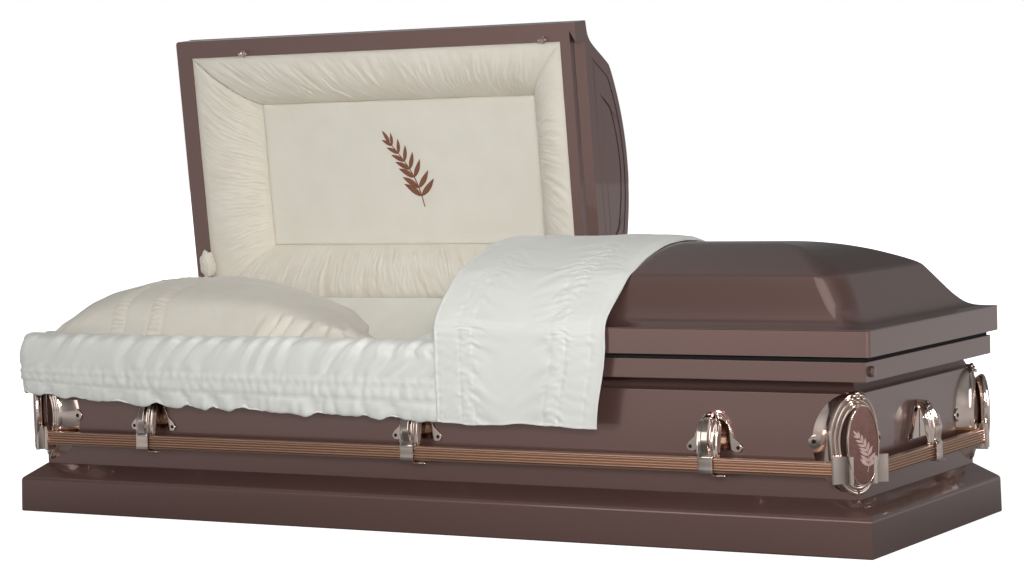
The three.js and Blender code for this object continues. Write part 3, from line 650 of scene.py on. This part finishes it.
def creased(co, normal):
    x, y, z = co.x / mm, co.y / mm, co.z / mm
    top = smooth(330, 400, z) * smooth(-0.2, 0.3, normal.z - 0.6 * normal.y)
    lift = 3.0 * rough(x / 120, y / 110, z / 120)
    slope = x + 0.32 * (z - 400) - 0.1 * y
    run = y + z
    for left, right, seed in ((-806, -768, 1.0), (-700, -662, 3.0)):  # two gathered bands over the crown
        band = bell(slope - (left + right) / 2, 34)
        lift += top * 3.4 * puffs(run, (slope - left) / (right - left), 18, seed)
        lift += top * 2.2 * band * ripple(run, slope, 13, 40, seed + 1)
        lift -= top * 1.6 * (bell(slope - left, 3) + bell(slope - right, 3))
    gather = smooth(-450, -380, x) * (1 - smooth(-190, -150, x)) * (1 - smooth(412, 462, z))
    gather *= smooth(0.1, 0.5, 0.4 * normal.z - normal.y)
    fold = pleat(x - 0.25 * z, 0.3 * z, 45, 8.0, 1.4)
    lift += gather * (8 * fold - 7 * max(0, -fold - 0.4))
    lift += 1.6 * smooth(-560, -420, x) * pleat(x + 0.7 * z, z, 70, 9.0) * top
    lift += 1.3 * ripple(x, y + z, 34, 60, 12.0) * top
    ear = smooth(-330, -160, x) * bell(z - 396, 15)  # the near corner runs out to a point
    return co + (normal * lift + Vector((46 * ear, 0, -4 * ear))) * mm


bm = inflate(closeSheet(mapGrid(120, 60, pillowPoint)), pillow["voxel"], pillow["swell"], pillow["frames"])
bmesh.ops.subdivide_edges(bm, edges=bm.edges, cuts=1, use_grid_fill=True)
for k in range(2):
    bmesh.ops.smooth_vert(bm, verts=bm.verts, factor=0.5, use_axis_x=True, use_axis_y=True, use_axis_z=True)
bm.normal_update()
places = [creased(v.co, v.normal) for v in bm.verts]
for vert, place in zip(bm.verts, places):
    vert.co = place
    vert.co.z = max(vert.co.z, pillow["low"] * mm)
cushion = addPiece("pillowCushion", bm, creamCrepe, "shell", ["pillow"], sharp=80)
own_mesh(cushion)
print("pillow blown up")

# Bed, linings of the body and the lining of the foot lid
bed = {"x": 980, "y": 277, "top": 284, "low": 2}


def bedPoint(u, v):
    x, y = mix(-bed["x"], bed["x"], u), mix(-bed["y"], bed["y"], v)
    edge = min(bed["x"] - abs(x), bed["y"] - abs(y))
    z = bed["top"] - 40 * bell(edge, 22) + 2 * rough(x / 170, y / 140, 4.0)
    return (x, y, z + ripple(x, y, 60, 200, 6.0))


bm = mapGrid(160, 60, bedPoint)
skirt = bmesh.ops.extrude_edge_only(bm, edges=[e for e in bm.edges if e.is_boundary])
for vert in newVerts(skirt):
    vert.co.z = bed["low"] * mm
bmesh.ops.contextual_create(bm, geom=[e for e in bm.edges if e.is_boundary])
mattress = addPiece("mattressPad", bm, creamCrepe, "shell", ["mattress"], sharp=70)

liningSet = {"short": 63, "inset": 68, "low": 140, "high": 379}
for name, turn, along, out in sides:
    span = along - liningSet["short"]

    def liningPoint(u, v):
        a, z = mix(-span, span, u), mix(liningSet["low"], liningSet["high"], v)
        puff = 2.2 * ripple(a, z, 12, 160, 20.0 + turn) * smooth(0, 0.1, 1 - v) + 1.5 * sin(v * pi)
        return (a, liningSet["inset"] - puff - out, z)

    bm = mapGrid(max(60, int(span / 4)), 24, liningPoint)
    turnTo(bm, turn)
    lining = addPiece(f"bodyLining.{name}", bm, creamCrepe, "shell", [f"lining_{name}"], sharp=80, thick=1.0)


board = {"x": (114, 1021), "half": 318, "face": 392.4}


def boardPoint(u, v):
    low, high = board["x"]
    x, y = mix(low, high, u), mix(-board["half"], board["half"], v)
    edge = min(x - low, high - x, board["half"] - abs(y))
    return (x, y, board["face"] + 3 * bell(edge, 14) - 1.2 * rough(x / 90, y / 90, 2.0))


bm = mapGrid(120, 80, boardPoint)
lidLining = addPiece("footLidLining", bm, creamCrepe, "foot_cover", ["foot_lid_lining"], sharp=80, thick=3.0,
                     toward=(0, 0, -1))

# Plain drape that closes the gap at the hinge, from the lid's border down inside the rail
drape = {"path": [(352, 447), (340, 436), (322, 420), (303, 402), (288, 388), (281, 374), (278, 350), (277, 320),
                  (276, 292)], "x": (-972, 72)}


def drapePoint(u, v):
    x = mix(*drape["x"], u)
    y, z = pushed(drape["path"], v, 2.2 * ripple(x, 150 * v, 70, 200, 14.0))
    return (x, y, z)


bm = mapGrid(260, 40, drapePoint)
hingeDrape = addPiece("hingeDrape", bm, litDrapeCloth, None, ["hinge_drape"], sharp=80, thick=0.8,
                      toward=(0, -1, 0.5))
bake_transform(hingeDrape)
print("bed and linings made")

# Knotted strip of the lining cloth at the head end of the lid
knot = {"at": (-1010, 204, 374), "size": (20, 34, 15)}
bm = bmesh.new()
bmesh.ops.create_icosphere(bm, subdivisions=5, radius=1)
for vert in bm.verts:
    d = vert.co.normalized()
    swell = 1 + 0.18 * noise.noise(d * 2.1) + 0.12 * ripple(6 * d.x + 4 * d.y, 5 * d.z, 1.2, 3, 3.0)
    vert.co = Vector([c + s * p for c, s, p in zip(knot["at"], knot["size"], d * swell)]) * mm
tie = addPiece("liningKnot", lifted(bm), creamCrepe, "head_cover", ["lid_tie"], sharp=80)
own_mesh(tie)  # pressed flat on the rail

# Bars: drawn stock, its outer face in fine ribs
bar = {"low": 155, "high": 185, "out": 43, "depth": 20, "short": 36, "ribs": 4, "ribDepth": 2.4, "round": 4}


def barSection():
    low, high, out, inner, r = bar["low"], bar["high"], bar["out"], bar["out"] - bar["depth"], bar["round"]
    points = []
    for k in range(8 * bar["ribs"] + 1):
        t = k / (8 * bar["ribs"])
        groove = bar["ribDepth"] * abs(cos(t * bar["ribs"] * pi)) ** 3
        points.append((out - groove, mix(low + r, high - r, t)))
    for cx, cz, start in ((out - r, high - r, 0), (inner + r, high - r, 90), (inner + r, low + r, 180),
                          (out - r, low + r, 270)):
        for k in range(7):
            angle = radians(start + 15 * k)
            points.append((cx + (r - 0.6) * cos(angle), cz + r * sin(angle)))
    return points


for name, turn, along, out in sides:
    bm = bmesh.new()
    end = along - wall - bar["short"]
    face = bm.faces.new([bm.verts.new(Vector((-end, wall - out - o, z)) * mm) for o, z in barSection()])
    made = bmesh.ops.extrude_face_region(bm, geom=[face], use_keep_orig=True)
    bmesh.ops.translate(bm, vec=(2 * end * mm, 0, 0), verts=newVerts(made))
    turnTo(bm, turn)
    addPiece(f"handleBar.{name}", bm, barMetal, "shell", [f"bar_{name}"], sharp=40)

# Lugs: a stepped arm that arches from the wall to the bar, a strap round the bar and two screwed ears
lug = {"top": 276, "reach": 43, "half": 26, "steps": ((0.34, 8), (0.68, 7)), "strap": 16, "strapThick": 3.4,
       "ear": [(2, 272), (18, 268), (29, 256), (36, 240), (44, 222), (57, 211), (62, 202), (58, 194), (48, 192),
               (38, 197), (2, 197)],
       "earThick": 3.5, "screw": (53, 202, 4.2), "x": (-700, 0, 700)}
screwOut = 4.2  # screw heads, out from the wall


def armPoint(u, v):
    angle = v * pi / 2
    side = 2 * u - 1
    rise = sum(h * (1 - smooth(edge - 0.07, edge + 0.07, abs(side))) for edge, h in lug["steps"])
    edge = 10 * smooth(0.86, 1, abs(side))
    width = mix(0.5, 1, smooth(0, 0.5, v)) * lug["half"]
    lift = (rise - edge) * mix(0.55, 1, sin(angle)) * mix(1, 0.6, smooth(0.8, 1, v))
    out = (lug["reach"] - 6 + lift) * sin(angle) ** 0.85
    up = 186 + (lug["top"] - 196 + lift) * cos(angle) ** 0.8
    return (side * width, max(out, 0.5), up)


def strapPath(v):
    t = lug["strapThick"]
    return alongPath([(34, 206), (41, 198), (43 + t, 188), (43.5 + t, 182), (43.5 + t, 168), (43.5 + t, 158),
                      (42 + t, 153), (36, 151.5), (26, 151.5)], v)


def spherePlate(bm, at, size):
    made = bmesh.ops.create_icosphere(bm, subdivisions=3, radius=1)
    for vert in made["verts"]:
        vert.co = Vector([c + s * p for c, s, p in zip(at, size, vert.co)]) * mm


def flatPlate(bm, outline, low, high):
    face = bm.faces.new([bm.verts.new(Vector((x, low, z)) * mm) for x, z in outline])
    made = bmesh.ops.extrude_face_region(bm, geom=[face], use_keep_orig=True)
    verts = newVerts(made)
    bmesh.ops.translate(bm, vec=(0, (high - low) * mm, 0), verts=verts)
    rim = [e for e in bm.edges if all(v in verts for v in e.verts)]
    bmesh.ops.bevel(bm, geom=rim, offset=0.9 * mm, segments=3, profile=0.5, affect="EDGES", material=-1)


def screwHead(bm, radius, matrix):
    return bmesh.ops.create_cone(bm, cap_ends=True, segments=20, radius1=radius * mm, radius2=radius * 0.8 * mm,
                                 depth=1.6 * mm, matrix=matrix)


# Local (along, out, up) to the side of the body that carries it
def toSide(bm, x, out, turn):
    for vert in bm.verts:
        vert.co = Vector((vert.co.x + x * mm, -vert.co.y - (out - wall) * mm, vert.co.z))
    turnTo(bm, turn)
    bmesh.ops.recalc_face_normals(bm, faces=bm.faces)
    return bm


def lugCasting():
    bm = mapGrid(56, 40, armPoint)

    def strapPoint(u, v):
        out, up = strapPath(v)
        return (mix(-lug["strap"], lug["strap"], u), out + 1.2 * sin(u * pi), up)

    mapGrid(10, 40, strapPoint, bm)
    spherePlate(bm, (27, 37, 149.5), (18, 8, 3.4))  # lip under the bar
    for side in (-1, 1):
        flatPlate(bm, [(side * x, z) for x, z in lug["ear"]], 0.4, 0.4 + lug["earThick"])
    for x, z, size in ((0, 268, 5), (-6, 262, 4), (6, 262, 4), (0, 258, 5)):  # leaf ornament at the top
        spherePlate(bm, (x, 22 + (268 - z) * 0.9, z), (size, size * 0.8, size * 1.1))
    return bm


for name, turn, along, out in sides:
    for k, x in enumerate(lug["x"] if along == halfLength else (0,)):
        bm = toSide(lugCasting(), x, out, turn)
        addPiece(f"lugCasting.{name}{k + 1}", bm, platedMetal, "shell", [f"lug_{name}_{k + 1}"], sharp=30, thick=1.6,
                 outward=False)
        bm = bmesh.new()
        a, z, radius = lug["screw"]
        for side in (-1, 1):
            at = Vector((side * a, screwOut, z)) * mm
            screwHead(bm, radius, Matrix.Translation(at) @ Matrix.Rotation(-pi / 2, 4, "X"))
        addPiece(f"lugScrews.{name}{k + 1}", toSide(bm, x, out, turn), holeShadeScrewSteel, "shell", sharp=30)
print("bars and lugs made")

# Corner castings: a stepped oval ring round the corner, a tip with fluted wings and an oval plate
ring = {"mid": 218, "outer": (52, 102), "inner": (30, 70), "sag": 16,
        "path": [(1, -14), (1, -9), (0.97, -5), (0.9, -2.5), (0.8, -2), (0.74, -3.6), (0.7, -3.8), (0.66, -0.6),
                 (0.56, 2), (0.44, 2.2), (0.38, 0.8), (0.34, 0.6), (0.29, 4.2), (0.2, 6), (0.1, 6), (0.02, 4.4), (0, 1),
                 (0, -8), (0, -14)],
        "ear": [(46, 250), (72, 250), (76, 236), (94, 234), (102, 228), (105, 220), (102, 211), (94, 206), (76, 205),
                (46, 196)],
        "screw": (93, 220, 4.6), "flare": 1.32}
beads = ((0, 316, 6), (-7, 312, 4.5), (7, 312, 4.5), (0, 307, 5), (-12, 306, 3.5), (12, 306, 3.5))
wing = {"low": 143, "high": 197, "fluteLow": 11, "fluteHigh": 6}
corners = [("front_foot", 1, -1), ("back_foot", 1, 1), ("back_head", -1, 1), ("front_head", -1, -1)]


# Local: s across the corner, t out along its diagonal
def toCorner(bm, sx, sy):
    for vert in bm.verts:
        s, t = vert.co.x, vert.co.y
        out, back = cornerX * mm + (t + s) / sqrt(2), cornerY * mm + (t - s) / sqrt(2)
        vert.co = Vector((sx * out, sy * back, vert.co.z))
    bmesh.ops.recalc_face_normals(bm, faces=bm.faces)
    return bm


def ringPoint(u, v):
    share, t = alongPath(ring["path"], max(v - 0.06, 0) / 0.94)
    angle = u * 2 * pi
    across = sin(angle)
    s = mix(ring["inner"][0], ring["outer"][0], share) * across
    z = ring["mid"] + mix(ring["inner"][1], ring["outer"][1], share) * cos(angle)
    depth = t - ring["sag"] * across ** 2
    if v < 0.03:
        s *= ring["flare"]
        depth = 0.3 - abs(s)  # the flared skirt meets the body walls
    return (s, depth, z)


def joinInto(bm, other):
    mesh = bpy.data.meshes.new("part")
    other.to_mesh(mesh)
    other.free()
    bm.from_mesh(mesh)


# A wing seen from above, with one flute: along the wall, out from it
def wingOutline(v):
    points = [(-38, 20), (-38, 44.5), (-37, 46.5), (-35, 47.2), (-32, 47), (-30, 46)]
    for j in range(1, 13):
        flute = mix(wing["fluteLow"], wing["fluteHigh"], v) * sin(j / 12 * pi) ** 0.8
        points.append((mix(-30, -4, j / 12), mix(46, 38, j / 12) - flute))
    return points + [(-1, 38.4), (2, 37), (4, 34), (4, 26), (-10, 20)]


def cornerRing():
    bm = mapGrid(112, 60, ringPoint)
    for s, z, size in beads:
        spherePlate(bm, (s, 1 + (316 - z) * 0.4, z), (size, size * 0.8, size))
    ears = bmesh.new()
    flatPlate(ears, ring["ear"], 0.4, 3.4)
    for side in (-1, 1):
        copy = ears.copy()
        for vert in copy.verts:  # the ears lie on the walls, square to the two sides
            x, o = vert.co.x, vert.co.y
            along = Vector((side, -1)).normalized() * x + Vector((side, 1)).normalized() * o
            vert.co = Vector((along.x, along.y, vert.co.z))
        joinInto(bm, copy)
    ears.free()
    return bm


def ovalPoint(path, u, v):
    grow, t = alongPath(path, v)
    angle = u * 2 * pi
    return ((33 + grow) * sin(angle), t, ring["mid"] + max(79 + grow, 0) * cos(angle))


def tipCasting():
    rim = [(-4, 20), (-1, 20), (0, 21), (0, 25), (-0.6, 27), (-1.8, 27.6), (-2.6, 27), (-2.8, 25.5), (-4, 25)]
    bowl = [(-32.9, 0), (-27, 0.6), (-18, 3.5), (-9, 9), (-3, 15.5), (-1, 20)]
    bm = mapGrid(96, 40, lambda u, v: ovalPoint(rim, u, v))
    return mapGrid(96, 12, lambda u, v: ovalPoint(bowl, u, v), bm)


# One wing in body coordinates, on the long side or swapped to the end
def wingCasting(sx, sy, swap):
    count = len(wingOutline(0))

    def wingPoint(u, v):
        a, o = wingOutline(v)[round(u * count) % count]
        x, y = (o, a) if swap else (a, o)
        return (sx * (cornerX + x), sy * (cornerY + y), mix(wing["low"], wing["high"], v))

    return closeSheet(mapGrid(count, 8, wingPoint))


# A leaf between two points of a flat drawing, laid on a surface by place(a, b, lift)
def leaf(bm, start, turn, length, width, place, count=10):
    ca, sa = cos(turn), sin(turn)

    def leafPoint(u, v):
        half = width * sin(pi * u ** 0.8) ** 0.9 * (2 * v - 1) / 2
        bend = 0.12 * length * sin(u * pi / 2)
        a, b = u * length, half + bend
        return place(start[0] + a * ca - b * sa, start[1] + a * sa + b * ca, 0.5 + 0.5 * sin(v * pi))

    mapGrid(count, 4, leafPoint, bm)


def platePoint(s, z, lift):
    inside = max(0, 1 - (s / 31) ** 2 - ((z - ring["mid"]) / 77) ** 2)
    return (s, 25.6 + 2.2 * inside + 0.28 * lift, z)


def discPoint(u, v):
    angle = u * 2 * pi
    return platePoint(30.6 * v * sin(angle), ring["mid"] + 76.4 * v * cos(angle), 0)


# A bent stem with paired leaves that shrink towards its tip
def spray(bm, place, foot, tip, bend, leaves, length, width, stem):
    points = []
    for k in range(25):
        t = k / 24
        side = sin(t * pi) * bend
        points.append((mix(foot[0], tip[0], t) + side, mix(foot[1], tip[1], t)))

    def stemPoint(u, v):
        x, y = points[round(u * 24)]
        return place(x + (v - 0.5) * stem, y, 0.6)

    mapGrid(24, 2, stemPoint, bm)
    for k in range(leaves):
        t = mix(0.18, 0.96, k / (leaves - 1))
        at = points[round(t * 24)]
        ahead = points[min(round(t * 24) + 1, 24)]
        behind = points[max(round(t * 24) - 1, 0)]
        heading = atan2(ahead[1] - behind[1], ahead[0] - behind[0])
        size = mix(1.0, 0.5, t)
        for side in (-1, 1):
            leaf(bm, at, heading + side * mix(0.95, 0.5, t), length * size, width * size, place)
    leaf(bm, points[-1], atan2(tip[1] - points[-4][1], tip[0] - points[-4][0]), length * 0.6, width * 0.6, place)


for name, sx, sy in corners:
    addPiece(f"cornerCasting.{name}", toCorner(cornerRing(), sx, sy), platedMetal, "shell", [f"corner_lug_{name}"],
             sharp=32)
    bm = bmesh.new()
    x, z, radius = ring["screw"]
    for swap in (False, True):
        for vert in screwHead(bm, radius, Matrix())["verts"]:
            a, up, o = vert.co / mm
            a, up, o = a - x, up + z, o + screwOut
            vert.co = Vector((sx * (cornerX + (o if swap else a)), sy * (cornerY + (a if swap else o)), up)) * mm
    addPiece(f"cornerScrews.{name}", bm, holeShadeScrewSteel, "shell", sharp=30)
    bm = toCorner(tipCasting(), sx, sy)
    for swap in (False, True):
        joinInto(bm, wingCasting(sx, sy, swap))
    stem = blockOf((-9, 3, bar["low"]), (9, 24, bar["high"]))  # holds the bar's end
    joinInto(bm, toCorner(stem, sx, sy))
    bmesh.ops.recalc_face_normals(bm, faces=bm.faces)
    addPiece(f"cornerTip.{name}", bm, platedMetal, "shell", [f"corner_tip_{name}"], sharp=30)
    bm = mapGrid(72, 16, discPoint)
    addPiece(f"medallionPlate.{name}", toCorner(bm, sx, sy), medallionMetal, "shell", [f"medallion_{name}"], sharp=40,
             thick=1.0)
    bm = bmesh.new()
    spray(bm, platePoint, (8, 166), (-10, 236), 10, 7, 26, 8.4, 1.5)
    addPiece(f"medallionEtch.{name}", toCorner(bm, sx, sy), etchedMetal, "shell", sharp=60, outward=False)
print("corner castings made")

# Embroidered leaf spray on the panel
thread = {"foot": (-420, 78), "tip": (-505, -78), "bend": 16, "leaves": 7, "length": 62, "width": 17, "stem": 3.2}
embroideryThread = toned("brownSatinStitch", "7a4630", "8c5a42", 3, {"Roughness": 0.5, "Sheen Weight": 0.2})
bm = bmesh.new()
spray(bm, lambda a, b, lift: (a, b, 475.6 - 1.1 * lift), **thread)
addPiece("embroideredSpray", lifted(bm), embroideryThread, "head_cover", sharp=60, toward=(0, -1, 0.1))

# CAD pieces that keep their own shape
plain = {"gasket": gasketRubber, "bottom": paintedSteel, "rail": paintedSteel, "latch": platedMetal,
         "hinge": hingeSteel}
for name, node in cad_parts.items():
    if not node.hide_render:
        node.data.materials.clear()
        node.data.materials.append(plain[name.split("_")[0]])

# Camera as the photo was taken
shot = {"lens": 97.01, "at": (3.122192, -5.22864, 0.848783), "azimuth": 30.33, "elevation": 3.369, "roll": -1.64}
camera = bpy.data.objects.new("photoCamera", bpy.data.cameras.new("photoCamera"))
camera.data.lens, camera.data.sensor_width = shot["lens"], 36
camera.data.clip_end = 100
azimuth, elevation, roll = (radians(shot[k]) for k in ("azimuth", "elevation", "roll"))
back = Vector((sin(azimuth) * cos(elevation), -cos(azimuth) * cos(elevation), sin(elevation)))
right = Vector((cos(azimuth), sin(azimuth), 0))
up = back.cross(right)
turned = Matrix((cos(roll) * right + sin(roll) * up, cos(roll) * up - sin(roll) * right, back))
camera.matrix_world = Matrix.Translation(shot["at"]) @ turned.transposed().to_4x4()
scene.collection.objects.link(camera)
scene.camera = camera

# Pale floor and soft studio light
bm = bmesh.new()
bmesh.ops.create_grid(bm, x_segments=1, y_segments=1, size=30)
bmesh.ops.translate(bm, verts=bm.verts, vec=(0, 0, -0.0005))
floorPaint, tree, shader, place = newMaterial("paleStudioFloor", {
    "Roughness": 0.9, "Specular IOR Level": 0.1, "Emission Color": (1, 1, 1, 1)})
# The floor glows so that it reads white; the glow is a little weaker near the casket, a faint painted shade round it
away = addNode(tree, "VectorMath", None, {0: place}, operation="LENGTH").outputs["Value"]
glow = addNode(tree, "MapRange", {"From Min": 1.2, "From Max": 5, "To Min": 0.88, "To Max": 1},
               {"Value": away})
tree.links.new(glow.outputs["Result"], shader.inputs["Emission Strength"])
twoTone(tree, shader, place, "f4f4f4", "f2f2f2", 500)
mesh = bpy.data.meshes.new("studioFloor")
bm.to_mesh(mesh)
bm.free()
mesh.materials.append(floorPaint)
floor = bpy.data.objects.new("studioFloor", mesh)
scene.collection.objects.link(floor)
floor.visible_diffuse = floor.visible_glossy = False  # shown to the camera only

# What the metal and paint mirror instead: a dark floor that brightens towards the walls
darkPaint, tree, shader, place = newMaterial("darkStudioCarpet", {
    "Base Color": (0.05, 0.05, 0.05, 1), "Roughness": 0.9, "Specular IOR Level": 0.1, "Emission Color": (1, 1, 1, 1)})
away = addNode(tree, "VectorMath", None, {0: place}, operation="LENGTH").outputs["Value"]
glow = addNode(tree, "MapRange", {"From Min": 0.9, "From Max": 2.4, "To Min": 0.08, "To Max": 0.5},
               {"Value": away})
tree.links.new(glow.outputs["Result"], shader.inputs["Emission Strength"])
carpet = bpy.data.objects.new("darkCarpet", mesh.copy())
carpet.data.materials.clear()
carpet.data.materials.append(darkPaint)
scene.collection.objects.link(carpet)
carpet.visible_camera = carpet.visible_shadow = False

# The room: a bright band at eye level, dimmer behind, in banks of light and dark round it
world = bpy.data.worlds.new("studio")
scene.world = world
world.use_nodes = True
tree = world.node_tree
around = addNode(tree, "TexCoord").outputs["Generated"]
axes = addNode(tree, "SeparateXYZ", None, {"Vector": around}).outputs
share = addNode(tree, "MapRange", {"From Min": -1}, {"Value": axes["Z"]}).outputs["Result"]
dome = addNode(tree, "ValToRGB", None, {"Fac": share})
while len(dome.color_ramp.elements) < 6:
    dome.color_ramp.elements.new(0.5)
levels = ((0, 0.1), (0.42, 0.14), (0.49, 0.5), (0.53, 0.62), (0.62, 0.3), (1, 0.33))
for stop, (at, level) in zip(dome.color_ramp.elements, levels):
    stop.position, stop.color = at, (level, level, level, 1)
behind = addNode(tree, "MapRange", {"From Min": -0.3, "From Max": 0.5, "To Min": 0.8, "To Max": 0.55},
                 {"Value": axes["Y"]})
bearing = addNode(tree, "Math", None, {0: axes["X"], 1: axes["Y"]}, operation="ARCTAN2").outputs["Value"]
turns = addNode(tree, "Math", {1: 6.0}, {0: bearing}, operation="MULTIPLY").outputs["Value"]
wave = addNode(tree, "Math", None, {0: turns}, operation="SINE").outputs["Value"]
banks = addNode(tree, "MapRange", {"From Min": -1, "To Min": 0.45, "To Max": 1.5}, {"Value": wave})
level = addNode(tree, "Math", None, {0: behind.outputs["Result"], 1: banks.outputs["Result"]},
                operation="MULTIPLY").outputs["Value"]
dimmed = addNode(tree, "VectorMath", None, {0: dome.outputs["Color"], "Scale": level}, operation="SCALE")
seen = addNode(tree, "LightPath").outputs["Is Camera Ray"]
shown = addNode(tree, "MixRGB", {"Color2": (1, 1, 1, 1)}, {"Fac": seen, "Color1": dimmed.outputs["Vector"]})
tree.links.new(shown.outputs["Color"], tree.nodes["Background"].inputs["Color"])

# Name, place, aim, size in metres, watts, spread in degrees
lights = [("keyLight", (3.0, -4.6, 1.6), (0, 0, 0.65), 1.0, 8.6, 42),
          ("fillLight", (-1.2, -4.8, 1.3), (0.3, 0, 0.3), 2.0, 19, 180),
          ("endLight", (5.2, -1.6, 1.3), (1.0, 0, -0.1), 2.0, 2.7, 40),
          ("topLight", (0.6, -1.2, 3.4), (0.6, 0, 0.4), 1.6, 8, 180)]
for name, at, aim, size, power, spread in lights:
    lamp = bpy.data.lights.new(name, "AREA")
    lamp.size, lamp.energy, lamp.spread = size, power, radians(spread)
    holder = bpy.data.objects.new(name, lamp)
    facing = (Vector(aim) - Vector(at)).to_track_quat("-Z", "Y")
    holder.matrix_world = Matrix.Translation(at) @ facing.to_matrix().to_4x4()
    scene.collection.objects.link(holder)
scene.view_settings.view_transform = "Standard"
print("camera and light set")
